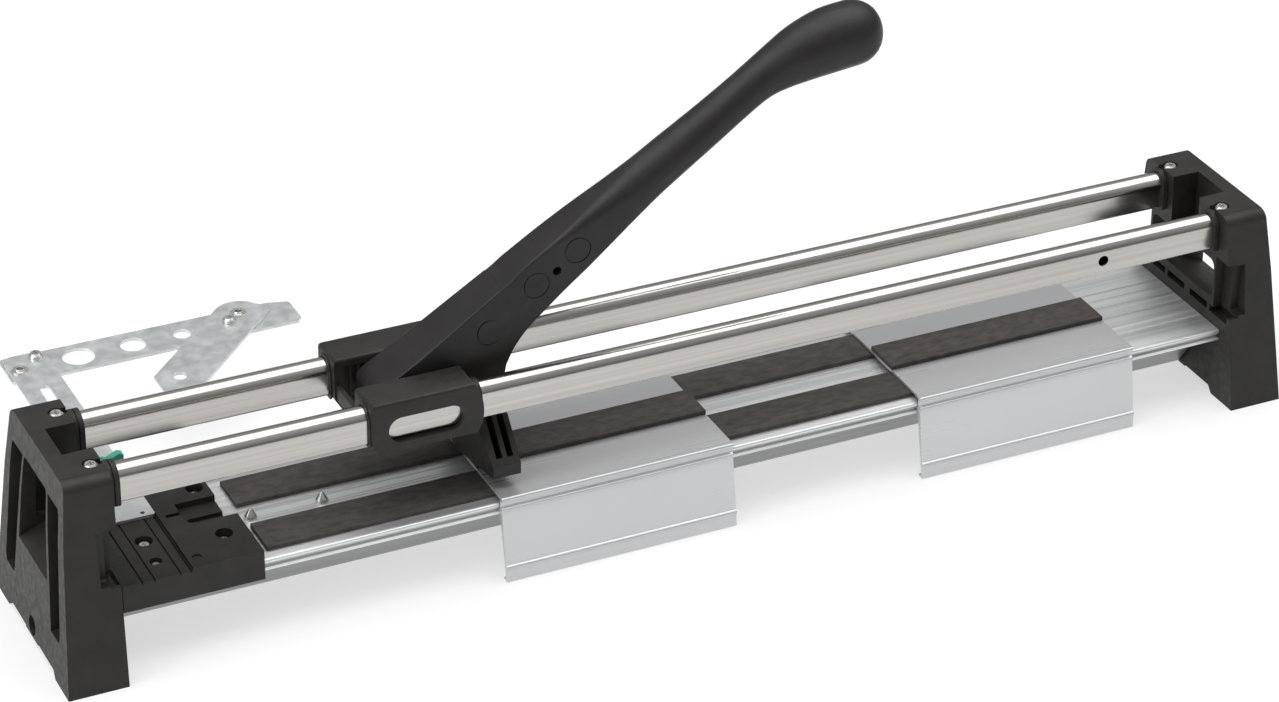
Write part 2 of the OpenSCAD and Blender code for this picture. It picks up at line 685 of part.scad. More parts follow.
// Side view of a shoe: X and Z, bulging at its right end
module shoe_side_2d() {
    r = 3;
    bulge_r = 33.2;
    bulge_z = shoe_floor_in + 17.5;
    x1 = shoe_x0 + shoe_len;
    polygon(concat(
        [[shoe_x0, shoe_floor_in + 10], [shoe_x0 + 6, shoe_floor_in], [x1 - 5.8, shoe_floor_in]],
        arc([x1 - bulge_r, bulge_z], bulge_r, -15, asin((shoe_top - bulge_z) / bulge_r), 8),
        arc([shoe_x0 + r, shoe_top - r], r, 90, 180, 3)
    ));
}

// End view of the near shoe: Y and Z
module shoe_end_2d() {
    r = 2;
    difference() {
        polygon(concat(
            [[-shoe_out_y, shoe_floor_out], [-shoe_out_y + 9, shoe_floor_in + 1], [-shoe_in_y - 2, shoe_floor_in],
             [-shoe_in_y, shoe_floor_in + 2]],
            arc([-shoe_in_y - r, shoe_top - r], r, 0, 90, 3),
            arc([-shoe_out_y + r, shoe_top - r], r, 90, 180, 3)
        ));
        translate([-rail_y, 0]) rail_2d(bore_w, bore_z, bore_top);
    }
}

// Reaches through the shoe's outer wall and the liner's, down to the rail's side
module shoe_window() along_y(-shoe_out_y - 1, shoe_out_y + 1 - rail_y - rail_w / 2 + 0.2)
    slot_2d(window_x0, window_x0 + window_len, window_z, window_h);

module carriage() color([0.15, 0.15, 0.15]) difference() {
    union() {
        both_sides() difference() {
            intersection() {
                along_x(shoe_x0, shoe_len + 2) shoe_end_2d();
                along_y(-far / 4, far / 2) shoe_side_2d();
            }
            shoe_window();
            // ribbed inner face at the left end
            for (k = [0:2]) translate([shoe_x0 + 6 + k * 5, -shoe_in_y - 1.2, shoe_floor_in + 9])
                cube([3.4, 3, shoe_top - shoe_floor_in - 14]);
        }
        // web that joins the shoes
        translate([shoe_x0 + 1, -shoe_in_y - 1, shoe_floor_in + 10]) cube([web_t, 2 * shoe_in_y + 2, web_h]);
    }
    translate([pivot.x, pin_len / 2 + 1, pivot.y]) rotate([90, 0, 0])
        cylinder(h = pin_len + 2, d = pin_d + 2 * seat_gap);
}

module liner() difference() {
    union() {
        along_x(shoe_x0, shoe_len) rail_2d(bore_w - 2 * seat_gap, bore_z + seat_gap, bore_top - seat_gap);
        along_x(shoe_x0 - 0.8, 0.8) rail_2d(bore_w + 1.2, bore_z - 0.6, bore_top + 0.6, 2);
    }
    along_x(shoe_x0 - 5, shoe_len + 10)
        rail_2d(rail_w + 2 * slide_gap, rail_z - slide_gap, rail_top + slide_gap, 1);
}

module glide_liners() color([0.08, 0.08, 0.08]) both_sides() difference() {
    translate([0, -rail_y, 0]) liner();
    shoe_window();
    along_y(-rail_y, rail_y) translate([pivot.x, pivot.y]) circle(d = pin_d + 2 * seat_gap);
}

module pivot_pin() color([0.72, 0.72, 0.72]) translate([pivot.x, pin_len / 2, pivot.y])
    rotate([90, 0, 0]) cylinder(h = pin_len, d = pin_d);

// ---------- lever ----------

// Side view of the lever's base, from the lever's datum: X and Z
module lever_base_2d() difference() {
    union() {
        polygon([[-33, 4], [3.5, 28], [24, 41.1], [44, 53.8], [52.7, 60], [65.5, 68.8], arm_end_top,
                 arm_end_low, [90.3, 48], [79.9, 40.1], [70, 32.1], [60.3, 24.3],
                 [53.5, 17.5], [48.5, 10], [44.5, 2], [42.5, -8], [42.5, -23.5], [17, -23.5],
                 [13, -16], [-10, -14.5], [-33, -10]]);
        translate([-33, -3]) circle(7);
    }
}

// Plan of the lever's base: half width at the hub, tapering to the arm
module lever_plan_2d() {
    w0 = lever_hub_w / 2;
    w1 = lever_arm_w / 2;
    hub_x = -14;
    arm_x = 64;
    polygon([[-60, -w0], [hub_x, -w0], [arm_x, -w1], [140, -w1 + 1.2], [140, w1 - 1.2], [arm_x, w1],
             [hub_x, w0], [-60, w0]]);
}

// End of the flat arm and middle line of the neck and the grip, from the lever's datum: X, Z and radius
arm_end_top = [83.2, 80.1];
arm_end_low = [99.2, 54.5];
grip_at = [[196.7, 138.1, neck_end_r + 0.2], [215, 149.6, 13.8], [238, 160.8, bulb_r - 1.2], [257, 164.2, bulb_r], [273, 163.8, bulb_r - 0.8]];
neck_at = [121.9, 88];
neck_run = [grip_at[0].x, grip_at[0].y] - neck_at;
neck_turn = atan2(neck_run.x, neck_run.y);

module lever() color([0.14, 0.14, 0.14]) translate([lever_at.x, 0, lever_at.y]) difference() {
    union() {
        intersection() {
            along_y(-far / 4, far / 2) lever_base_2d();
            translate([0, 0, -far / 2]) linear_extrude(far) lever_plan_2d();
        }
        // the flat arm turns into the round neck
        hull() {
            along_y(-lever_arm_w / 2 + 0.8, lever_arm_w - 1.6)
                polygon([arm_end_top - [0.8, 0.5], arm_end_top, arm_end_low, arm_end_low - [0.8, 0.5]]);
            translate([neck_at.x, 0, neck_at.y]) rotate([0, neck_turn, 0]) cylinder(h = 1, r = neck_r);
        }
        translate([neck_at.x, 0, neck_at.y]) rotate([0, neck_turn, 0])
            cylinder(h = norm(neck_run), r1 = neck_r, r2 = neck_end_r);
        // grip
        for (k = [0:3]) hull() for (g = [grip_at[k], grip_at[k + 1]])
            translate([g.x, 0, g.y]) sphere(r = g[2], $fn = 32);
    }
    translate([0, 0, pivot.y - lever_at.y]) rotate([90, 0, 0])
        cylinder(h = far, d = pin_d + 2 * run_gap, center = true);
    translate([77, 0, 56.5]) rotate([90, 0, 0]) cylinder(h = far, d = arm_hole_d, center = true);
    // slot for the wheel holder's tang and its bolt
    translate([-34, -tang_half_w - seat_gap, -30]) cube([20, 2 * (tang_half_w + seat_gap), 32]);
    translate([holder_bolt_at.x - lever_at.x, 0, holder_bolt_at.y - lever_at.y]) rotate([90, 0, 0])
        cylinder(h = far, d = 4 + 2 * seat_gap, center = true);
    // bore for the foot's screw
    translate([foot_screw_x - lever_at.x, 0, heel_z - lever_at.y - 1]) cylinder(h = 18, d = 5 + 2 * seat_gap);
}

module foot_end_2d() {
    shoulder = [[foot_half_w, foot_z], [foot_half_w, foot_z + foot_tip_h], [lever_hub_w / 2 + 6, foot_top - 2],
                [lever_hub_w / 2 + 4, foot_top]];
    polygon([for (p = shoulder) p, for (k = [3:-1:0]) [-shoulder[k].x, shoulder[k].y]]);
}

module breaker_foot() color([0.12, 0.12, 0.12]) difference() {
    intersection() {
        along_x(lever_at.x, 60) foot_end_2d();
        translate([0, 0, foot_z - 1]) linear_extrude(far) polygon([
            [foot_x1 - 23.9, 0], [foot_x1 - 17.5, -foot_half_w], [foot_x1, -foot_half_w],
            [foot_x1, foot_half_w], [foot_x1 - 17.5, foot_half_w]]);
    }
    // two deep pockets in each arm leave three ribs
    for (x = [foot_x1 - 14.1, foot_x1 - 7.2]) both_sides()
        translate([x, 13, foot_z + 2]) cube([3.8, foot_half_w - 13 - 3.4, far]);
    // screw into the lever's heel
    translate([foot_screw_x, 0, foot_z - 1]) cylinder(h = 11, d = 9.6);
    translate([foot_screw_x, 0, foot_z]) cylinder(h = far, d = 5 + 2 * seat_gap);
}

module foot_screw() color([0.75, 0.75, 0.75]) translate([foot_screw_x, 0, foot_z + 10]) mirror([0, 0, 1])
    pan_screw(5, foot_top - foot_z + 5, 9, 3.5);

// ---------- cutting wheel and its holder ----------

module wheel_holder() color([0.6, 0.6, 0.6]) difference() {
    union() {
        along_y(-tang_half_w, 2 * tang_half_w) polygon([
            [wheel_at.x - 9, lever_at.y + 1], [wheel_at.x + 9, lever_at.y + 1],
            [wheel_at.x + 9, wheel_at.y + 6], [wheel_at.x + 4.5, wheel_at.y - 3.5],
            [wheel_at.x - 4.5, wheel_at.y - 3.5], [wheel_at.x - 9, wheel_at.y + 6]]);
    }
    // fork round the wheel
    translate([wheel_at.x - 20, -wheel_t / 2 - slide_gap, wheel_at.y - 20])
        cube([40, wheel_t + 2 * slide_gap, 20 + wheel_d / 2 + 1.5]);
    translate([wheel_at.x, 0, wheel_at.y]) rotate([90, 0, 0])
        cylinder(h = far, d = axle_d + 2 * seat_gap, center = true);
    translate([holder_bolt_at.x, 0, holder_bolt_at.y]) rotate([90, 0, 0])
        cylinder(h = far, d = 4 + 2 * seat_gap, center = true);
}

module holder_bolt() color([0.75, 0.75, 0.75])
    translate([holder_bolt_at.x, lever_hub_w / 2 - 0.6, holder_bolt_at.y]) rotate([90, 0, 0])
        cylinder(h = lever_hub_w - 1.2, d = 4);

module wheel_axle() color([0.75, 0.75, 0.75]) translate([wheel_at.x, 0, wheel_at.y]) rotate([90, 0, 0]) {
    cylinder(h = 2 * tang_half_w + 4, d = axle_d, center = true);
    for (s = [0, 1]) mirror([0, 0, s]) translate([0, 0, tang_half_w]) cylinder(h = 2, d = axle_d + 3);
}

module cutting_wheel() color([0.55, 0.55, 0.57]) translate([wheel_at.x, 0, wheel_at.y]) rotate([90, 0, 0])
    rotate_extrude() polygon([[axle_d / 2 + run_gap, -wheel_t / 2], [wheel_d / 2 - 1.8, -wheel_t / 2],
        [wheel_d / 2, 0], [wheel_d / 2 - 1.8, wheel_t / 2], [axle_d / 2 + run_gap, wheel_t / 2]]);

// ---------- extensions ----------

// Near half of the saddle's outline, from the top middle round to the underside:
// plate, corner bead, recessed wall, knee ridge, leaning panel, hooked foot, tongue
function saddle_points() = let (
    wall_y = deck_half_w + 0.4,
    out_y = wall_y + ext_t,
    knee_z = slot_top + 0.5,
    bead_r = 1.6,
    foot_y = out_y + ext_flare + 0.8,
    lift = 0.5,
    tongue_y = deck_half_w - side_slot_depth + 0.5,
    tongue_z = slot_low + slide_gap,
    tongue_top = slot_top - slide_gap,
    ridge_z = lift + 9,
    ridge_y = foot_y - ext_flare * ridge_z / knee_z
) concat(
    [[0, ext_top]],
    arc([out_y + 0.2, ext_top - bead_r], bead_r, 90, -80, 7),
    [[out_y, ext_top - 2 * bead_r - 0.1], [out_y, knee_z + 1.2]],
    arc([out_y + 0.7, knee_z - 0.6], 1.4, 90, -60, 6),
    [[ridge_y + 0.1, ridge_z + 1.7]],
    arc([ridge_y + 0.3, ridge_z], 1.3, 70, -60, 5),
    [[foot_y, lift], [foot_y - 4.5, lift], [foot_y - 4.5, lift + ext_t * 0.8],
     [foot_y - ext_t, lift + ext_t], [wall_y, tongue_z - ext_t], [wall_y, tongue_z], [tongue_y, tongue_z],
     [tongue_y, tongue_top], [wall_y, tongue_top], [wall_y, ext_z], [0, ext_z]]
);

module extension(x0) color([0.78, 0.79, 0.8]) along_x(x0, ext_len) mirrored_outline(saddle_points());

module extension_pad(x0) color([0.24, 0.23, 0.23]) along_x(x0, ext_len)
    round_rect(-ext_pad_w / 2, ext_top, ext_pad_w, ext_pad_h, 0.5);

// ---------- assembly ----------

deck();
stand_left();
stand_right();
rail_near();
rail_far();
rail_bumpers();
rail_screws();
keel_screws();
base_pad(-1);  // base_pad_near
base_pad(1);  // base_pad_far
end_block();
block_screws();
centre_screws();
clamp_stud();
clamp_knob();
stop_bar();
fence_pivot_screw();
fence_rivet_nut();
fence_arm();
mitre_pivot_screw();
mitre_arm();
mitre_rivet_nut();
carriage();
glide_liners();
pivot_pin();
lever();
breaker_foot();
foot_screw();
wheel_holder();
holder_bolt();
wheel_axle();
cutting_wheel();
extension(ext_left_x);  // extension_left
extension_pad(ext_left_x);  // extension_left_pad
extension(ext_right_x);  // extension_right
extension_pad(ext_right_x);  // extension_right_pad
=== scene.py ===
"""Studio picture of a manual tile cutter: twin rails, lever carriage, aluminium deck, folding angle stop."""
from math import cos, pi, radians, sin

import bmesh
import bpy
from mathutils import Matrix, Vector


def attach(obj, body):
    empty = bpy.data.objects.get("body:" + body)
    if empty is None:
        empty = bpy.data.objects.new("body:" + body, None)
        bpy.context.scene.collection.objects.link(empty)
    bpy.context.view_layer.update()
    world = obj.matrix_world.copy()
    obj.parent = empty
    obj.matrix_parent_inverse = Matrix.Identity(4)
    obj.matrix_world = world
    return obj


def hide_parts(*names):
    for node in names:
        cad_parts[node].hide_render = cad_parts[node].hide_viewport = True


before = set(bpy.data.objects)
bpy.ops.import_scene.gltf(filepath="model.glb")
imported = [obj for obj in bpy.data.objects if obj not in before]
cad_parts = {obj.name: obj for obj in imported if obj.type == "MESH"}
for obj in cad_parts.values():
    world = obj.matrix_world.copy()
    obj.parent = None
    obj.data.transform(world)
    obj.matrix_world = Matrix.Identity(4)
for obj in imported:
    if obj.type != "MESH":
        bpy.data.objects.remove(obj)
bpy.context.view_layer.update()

MM = 0.001
# Height under the deck's lip where the keel begins, and the run over which its painted shade sets in
KEEL_TOP, KEEL_SHADE_RUN = 0.0415, 0.0004
# Span of a noise value that carries most of its variation
NOISE_LOW, NOISE_HIGH = 0.3, 0.7
# Finish of CAD meshes: weld distance in mm, and the angles in degrees taken as flat and as sharp
WELD, FLAT_ANGLE, SHARP_ANGLE = 0.002, 0.6, 32


# ---------- materials: node helpers ----------

def new_material(name, roughness, metallic=0.0, specular=0.5):
    """A material with a Principled shader; returns the material, its nodes' tree and the shader."""
    mat = bpy.data.materials.new(name)
    mat.use_nodes = True
    tree = mat.node_tree
    shader = tree.nodes["Principled BSDF"]
    shader.inputs["Roughness"].default_value = roughness
    shader.inputs["Metallic"].default_value = metallic
    shader.inputs["Specular IOR Level"].default_value = specular
    return mat, tree, shader


def noise(tree, scale, detail=3.0, stretch=(1, 1, 1)):
    """Noise in the piece's own metres, finer along an axis with a larger stretch."""
    where = tree.nodes.new("ShaderNodeTexCoord")
    mapping = tree.nodes.new("ShaderNodeMapping")
    mapping.inputs["Scale"].default_value = stretch
    texture = tree.nodes.new("ShaderNodeTexNoise")
    texture.inputs["Scale"].default_value = scale
    texture.inputs["Detail"].default_value = detail
    tree.links.new(where.outputs["Object"], mapping.inputs["Vector"])
    tree.links.new(mapping.outputs["Vector"], texture.inputs["Vector"])
    return texture.outputs["Fac"]


def spread(tree, value, low, high, start=NOISE_LOW, end=NOISE_HIGH):
    """Maps a value between start and end to the range low to high."""
    node = tree.nodes.new("ShaderNodeMapRange")
    node.inputs["From Min"].default_value = start
    node.inputs["From Max"].default_value = end
    node.inputs["To Min"].default_value = low
    node.inputs["To Max"].default_value = high
    tree.links.new(value, node.inputs["Value"])
    return node.outputs["Result"]


def shade(tree, shader, value, dark, light):
    """Base colour that runs from dark to light with a noise value."""
    ramp = tree.nodes.new("ShaderNodeValToRGB")
    ramp.color_ramp.elements[0].position = NOISE_LOW
    ramp.color_ramp.elements[0].color = (*dark, 1)
    ramp.color_ramp.elements[1].position = NOISE_HIGH
    ramp.color_ramp.elements[1].color = (*light, 1)
    tree.links.new(value, ramp.inputs["Fac"])
    tree.links.new(ramp.outputs["Color"], shader.inputs["Base Color"])


def relief(tree, shader, value, depth, strength):
    """Fine relief of the given depth in metres."""
    bump = tree.nodes.new("ShaderNodeBump")
    bump.inputs["Distance"].default_value = depth
    bump.inputs["Strength"].default_value = strength
    tree.links.new(value, bump.inputs["Height"])
    tree.links.new(bump.outputs["Normal"], shader.inputs["Normal"])


# ---------- materials: one function each ----------

def black_plastic():
    """Glass-filled black plastic with a fine moulded grain."""
    mat, tree, shader = new_material("black_plastic", 0.5, specular=0.34)
    shade(tree, shader, noise(tree, 60), (0.0125, 0.0115, 0.0105), (0.02, 0.0185, 0.017))
    tree.links.new(spread(tree, noise(tree, 240), 0.44, 0.6), shader.inputs["Roughness"])
    relief(tree, shader, noise(tree, 2600, 2), 0.00006, 0.5)
    return mat


def lever_plastic():
    """Satin black plastic of the lever, with a leathery sheen on the grip."""
    mat, tree, shader = new_material("lever_plastic", 0.42, specular=0.32)
    shade(tree, shader, noise(tree, 25), (0.0115, 0.0103, 0.0102), (0.0185, 0.0168, 0.0166))
    tree.links.new(spread(tree, noise(tree, 180), 0.38, 0.52), shader.inputs["Roughness"])
    relief(tree, shader, noise(tree, 2200, 2), 0.00006, 0.5)
    return mat


def green_plastic():
    """Teal green moulded plastic of the clamp knob."""
    mat, tree, shader = new_material("green_plastic", 0.42)
    shade(tree, shader, noise(tree, 90), (0.03, 0.22, 0.15), (0.045, 0.3, 0.21))
    relief(tree, shader, noise(tree, 1800, 2), 0.00004, 0.4)
    return mat


def pad_rubber():
    """Ribbed dark grey rubber of the tile pads, with dusty patches."""
    mat, tree, shader = new_material("pad_rubber", 0.85, specular=0.25)
    shade(tree, shader, noise(tree, 120, 6, (1, 2.2, 1)), (0.05, 0.046, 0.042), (0.082, 0.076, 0.07))
    relief(tree, shader, noise(tree, 1500, 3), 0.00018, 0.8)
    return mat


def ring_rubber():
    """Soft black rubber of the end rings."""
    mat, tree, shader = new_material("ring_rubber", 0.6, specular=0.35)
    shade(tree, shader, noise(tree, 120), (0.012, 0.012, 0.012), (0.022, 0.021, 0.02))
    relief(tree, shader, noise(tree, 1900, 2), 0.00005, 0.4)
    return mat


def painted_shade_below(tree, shader, height, share):
    """Painted shade: lets the base colour fall to a share of itself below a height in metres, in place of the
    shade on down-facing sides.
    """
    ramp = shader.inputs["Base Color"].links[0].from_socket
    where = tree.nodes.new("ShaderNodeTexCoord")
    parts = tree.nodes.new("ShaderNodeSeparateXYZ")
    tree.links.new(where.outputs["Object"], parts.inputs[0])
    amount = spread(tree, parts.outputs["Z"], share, 1.0, height - KEEL_SHADE_RUN, height)
    mix = tree.nodes.new("ShaderNodeVectorMath")
    mix.operation = "SCALE"
    tree.links.new(ramp, mix.inputs[0])
    tree.links.new(amount, mix.inputs["Scale"])
    tree.links.new(mix.outputs[0], shader.inputs["Base Color"])


def drawn_aluminium():
    """Bright extruded aluminium with fine die lines along X; painted shade darkens the keel's down-facing
    sides.
    """
    mat, tree, shader = new_material("drawn_aluminium", 0.42, metallic=0.82)
    lines = noise(tree, 260, 3, (0.01, 1, 1))
    shade(tree, shader, lines, (0.66, 0.67, 0.67), (0.86, 0.87, 0.87))
    # painted shade: below the keel's top the base colour falls to half, standing in for the shade on the keel's
    # down-facing sides
    painted_shade_below(tree, shader, KEEL_TOP, 0.5)
    tree.links.new(spread(tree, lines, 0.36, 0.48), shader.inputs["Roughness"])
    relief(tree, shader, noise(tree, 900, 2, (0.006, 1, 1)), 0.00003, 0.35)
    return mat


def anodised():
    """Satin anodised aluminium of the side extensions."""
    mat, tree, shader = new_material("anodised", 0.27, metallic=0.6)
    shade(tree, shader, noise(tree, 9, 5, (0.4, 1, 1)), (0.56, 0.565, 0.575), (0.6, 0.605, 0.615))
    tree.links.new(spread(tree, noise(tree, 300, 3, (0.02, 1, 1)), 0.27, 0.31), shader.inputs["Roughness"])
    return mat


def rail_steel():
    """Polished drawn steel tube with long faint streaks."""
    mat, tree, shader = new_material("rail_steel", 0.16, metallic=1.0)
    streaks = noise(tree, 330, 4, (0.008, 1, 1))
    shade(tree, shader, streaks, (0.43, 0.415, 0.39), (0.52, 0.505, 0.48))
    tree.links.new(spread(tree, noise(tree, 30, 3, (0.05, 1, 1)), 0.12, 0.22), shader.inputs["Roughness"])
    relief(tree, shader, streaks, 0.00002, 0.3)
    return mat


def zinc_sheet():
    """Zinc-plated sheet with a cool, slightly mottled surface."""
    mat, tree, shader = new_material("zinc_sheet", 0.4, metallic=0.9)
    shade(tree, shader, noise(tree, 45, 5), (0.62, 0.645, 0.645), (0.76, 0.785, 0.785))
    tree.links.new(spread(tree, noise(tree, 130, 4), 0.32, 0.5), shader.inputs["Roughness"])
    relief(tree, shader, noise(tree, 700, 2), 0.00003, 0.4)
    return mat


def screw_steel():
    """Zinc-plated screws, pins and nuts."""
    mat, tree, shader = new_material("screw_steel", 0.3, metallic=1.0)
    shade(tree, shader, noise(tree, 400, 4), (0.56, 0.56, 0.55), (0.76, 0.76, 0.74))
    tree.links.new(spread(tree, noise(tree, 900, 3), 0.24, 0.4), shader.inputs["Roughness"])
    return mat


def ground_carbide():
    """Ground carbide of the cutting wheel."""
    mat, tree, shader = new_material("ground_carbide", 0.28, metallic=1.0)
    shade(tree, shader, noise(tree, 700, 3), (0.3, 0.3, 0.32), (0.42, 0.42, 0.44))
    tree.links.new(spread(tree, noise(tree, 1500, 2), 0.22, 0.36), shader.inputs["Roughness"])
    return mat


# ---------- CAD nodes: finish and softened edges ----------

def paint(node, material, edge=0.0, segments=2):
    """Gives a CAD node its finish, and rounds its sharp edges by edge mm."""
    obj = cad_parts[node]
    for slot in obj.material_slots:
        slot.material = material
    mesh = obj.data
    if "custom_normal" in mesh.attributes:
        mesh.attributes.remove(mesh.attributes["custom_normal"])
    mesh.shade_smooth()
    weld = obj.modifiers.new("weld", "WELD")
    weld.merge_threshold = WELD * MM
    flat = obj.modifiers.new("flat", "DECIMATE")
    flat.decimate_type = "DISSOLVE"
    flat.angle_limit = radians(FLAT_ANGLE)
    if edge:
        bevel = obj.modifiers.new("edge", "BEVEL")
        bevel.width = edge * MM
        bevel.segments = segments
        bevel.limit_method = "ANGLE"
        bevel.angle_limit = radians(SHARP_ANGLE)
        bevel.harden_normals = True
    else:
        split = obj.modifiers.new("sharp", "EDGE_SPLIT")
        split.split_angle = radians(SHARP_ANGLE)


def paint_all():
    """Gives every CAD node its finish; the lever is remade below."""
    plastic, rubber, rings = black_plastic(), pad_rubber(), ring_rubber()
    deck, side, rail = drawn_aluminium(), anodised(), rail_steel()
    zinc, steel, carbide = zinc_sheet(), screw_steel(), ground_carbide()
    for node in ("stand_left", "stand_right"):
        paint(node, plastic, 0.6, 3)
    for node in ("end_block", "carriage", "breaker_foot", "glide_liners"):
        paint(node, plastic, 0.35)
    for node in ("base_pad_near", "base_pad_far", "extension_left_pad", "extension_right_pad"):
        paint(node, rubber, 0.5)
    paint("rail_bumpers", rings, 0.5, 3)
    paint("deck", deck, 0.12)
    for node in ("extension_left", "extension_right"):
        paint(node, side, 0.12)
    for node in ("rail_near", "rail_far"):
        paint(node, rail)
    for node in ("stop_bar", "fence_arm", "mitre_arm"):
        paint(node, zinc, 0.25)
    for node in ("rail_screws", "keel_screws", "block_screws", "centre_screws", "clamp_stud",
                 "fence_pivot_screw", "fence_rivet_nut", "mitre_pivot_screw", "mitre_rivet_nut",
                 "pivot_pin", "foot_screw", "holder_bolt", "wheel_axle"):
        paint(node, steel, 0.15)
    paint("wheel_holder", zinc, 0.3)
    paint("cutting_wheel", carbide)
    paint("clamp_knob", green_plastic(), 0.6, 3)


# ---------- mesh helpers ----------

def make_piece(name, bm, material, body, nodes):
    """Turns a bmesh into a smooth-shaded piece that rides on a body in place of CAD nodes."""
    bmesh.ops.recalc_face_normals(bm, faces=bm.faces)
    mesh = bpy.data.meshes.new(name)
    bm.to_mesh(mesh)
    bm.free()
    mesh.shade_smooth()
    piece = bpy.data.objects.new(name, mesh)
    bpy.context.scene.collection.objects.link(piece)
    mesh.materials.append(material)
    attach(piece, body)
    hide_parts(*nodes)
    return piece


def smooth_through(stations, steps):
    """Catmull-Rom curve through rows of numbers, with the given steps between two rows."""
    rows = [stations[0], *stations, stations[-1]]
    out = []
    for k in range(1, len(rows) - 2):
        before, a, b, after = rows[k - 1:k + 3]
        for step in range(steps):
            t = step / steps
            out.append([0.5 * (2 * q + (r - p) * t + (2 * p - 5 * q + 4 * r - s) * t * t
                               + (3 * q - p - 3 * r + s) * t ** 3)
                        for p, q, r, s in zip(before, a, b, after)])
    out.append(list(stations[-1]))
    return out


def ring_points(half_w, top, bottom, roundness, per_corner=8):
    """Rounded rectangle in a section: across, and up from the middle line; nearly an ellipse at roundness 1."""
    rx = roundness * half_w
    rz = roundness * (top + bottom) / 2
    small = min(rx, rz)
    rx, rz = small + (rx - small) * roundness, small + (rz - small) * roundness
    points = []
    for cx, cz, start in ((half_w - rx, top - rz, 0), (rx - half_w, top - rz, 90),
                          (rx - half_w, rz - bottom, 180), (half_w - rx, rz - bottom, 270)):
        for k in range(per_corner):
            angle = radians(start + 90 * k / (per_corner - 1))
            points.append((cx + rx * cos(angle), cz + rz * sin(angle)))
    return points


def loft(bm, rings):
    """Skins a row of closed rings and closes both ends."""
    made = [[bm.verts.new(p) for p in ring] for ring in rings]
    for a, b in zip(made, made[1:]):
        for k in range(len(a)):
            n = (k + 1) % len(a)
            bm.faces.new((a[k], a[n], b[n], b[k]))
    for ring in (made[0], made[-1]):
        bm.faces.new(ring)


# ---------- lever ----------

# The lever's datum between the shoes, and the arm's own frame: along it, and across it towards its underside
LEVER_AT = Vector((-0.154, 0, 0.1175))
ARM_SLOPE = 32
ARM_ALONG = Vector((cos(radians(ARM_SLOPE)), 0, sin(radians(ARM_SLOPE))))
ARM_UNDER = Vector((sin(radians(ARM_SLOPE)), 0, -cos(radians(ARM_SLOPE))))
# Upright sections of the hub and the heel, in mm from the datum: X, top, bottom
HUB_SECTIONS = [
    [-38.6, -1.6, -5.0], [-38.1, 0.6, -6.8], [-36.9, 2.6, -8.2], [-34.9, 4.7, -9.4], [-32.0, 6.8, -10.3],
    [-28.0, 9.0, -11.1], [-23.0, 11.7, -12.0], [-10.0, 19.4, -14.5],
    [12.6, 33.8, -16.0], [13.0, 34.1, -16.2], [16.8, 36.5, -23.3], [17.4, 36.9, -23.5],
    [42.2, 52.7, -23.5],
]
# Sections that fan out into the arm, in mm in the arm's frame: top along and across, bottom along and across
ARM_SECTIONS = [
    [63.8, -22.0, 23.7, 42.3], [64.3, -22.0, 31.8, 29.3], [66.4, -22.0, 38.8, 21.9],
    [69.0, -22.2, 46.4, 17.2],
    [72.0, -22.5, 54.6, 13.8], [76.5, -23.0, 64.0, 11.4], [83.5, -23.4, 76.4, 9.9], [92.0, -23.6, 89.0, 8.3],
    [102.0, -23.7, 102.0, 7.1],
]
# Sections of the neck and the grip, in mm in the arm's frame and degrees: middle along and across,
# turn from the arm's line, reach above, below and sideways, roundness
GRIP_SECTIONS = [
    [113.0, -8.7, 0.0, 15.1, 15.1, 12.8, 0.30],
    [130.0, -9.4, 0.5, 14.7, 14.7, 13.0, 0.50],
    [150.0, -10.0, 1.5, 14.2, 14.2, 13.2, 0.76],
    [170.0, -10.7, 1.5, 14.0, 14.0, 13.5, 1.0],
    [190.0, -11.3, 1.5, 13.3, 13.3, 13.2, 1.0],
    [215.0, -11.8, 1.5, 12.6, 12.6, 12.6, 1.0],
    [240.0, -12.7, 1.0, 12.1, 12.1, 12.1, 1.0],
    [256.0, -13.1, -0.5, 12.4, 12.6, 12.4, 1.0],
    [270.0, -12.0, -4.0, 14.0, 15.2, 14.2, 1.0],
    [286.0, -9.3, -11.0, 16.9, 18.5, 16.9, 1.0],
    [303.0, -4.1, -20.0, 19.0, 20.4, 18.7, 1.0],
    [316.5, 2.8, -30.0, 19.6, 20.0, 18.9, 1.0],
]
# Rings between two sections of the curve
SKIN_STEPS = 4
# Rounded end of the grip: reach in mm, rings, the count that a closed end would take, and fullness
TIP_RADIUS, TIP_RINGS, TIP_SPAN, TIP_FULLNESS = 18.8, 8, 8.4, 0.8
# The hub's end face lies before this X and is drawn in by this much at each side, in mm
NOSE_X, NOSE_DRAW = -38.5, 0.8
# Roundness of the flat part, what it gains, and where along the arm and over what run, in mm
FLAT_ROUND, ROUND_GAIN, ROUND_FROM, ROUND_RUN = 0.08, 0.12, 76, 26
HUB_HALF_W, ARM_HALF_W, ARM_END_HALF_W = 15.5, 12.4, 12.8
# X where the hub begins to narrow, where the arm begins, and where the arm has its end width, in mm
NARROW_X, ARM_X, ARM_END_X = -14, 64, 140
# Small hole through the arm: X, Z and radius; and the round moulding marks: X and Z, in mm
ARM_HOLE = (77.0, 56.5, 2.75)
EJECTOR_MARKS = [(34.0, 26.5), (64.0, 50.0), (90.0, 67.5)]
MARK_OUTER, MARK_INNER, MARK_DEPTH, MARK_SIDES = 8.3, 7.6, 0.35, 40
# The cutters reach this far to each side, beyond the lever, in mm
CUT_REACH = 30
LEVER_SHARP_ANGLE = 34


def half_width(x):
    """Half width of the hub and the arm at a distance along X, in mm."""
    if x < NARROW_X:
        return HUB_HALF_W
    if x < ARM_X:
        return HUB_HALF_W + (ARM_HALF_W - HUB_HALF_W) * (x - NARROW_X) / (ARM_X - NARROW_X)
    return ARM_HALF_W + (ARM_END_HALF_W - ARM_HALF_W) * min((x - ARM_X) / (ARM_END_X - ARM_X), 1)


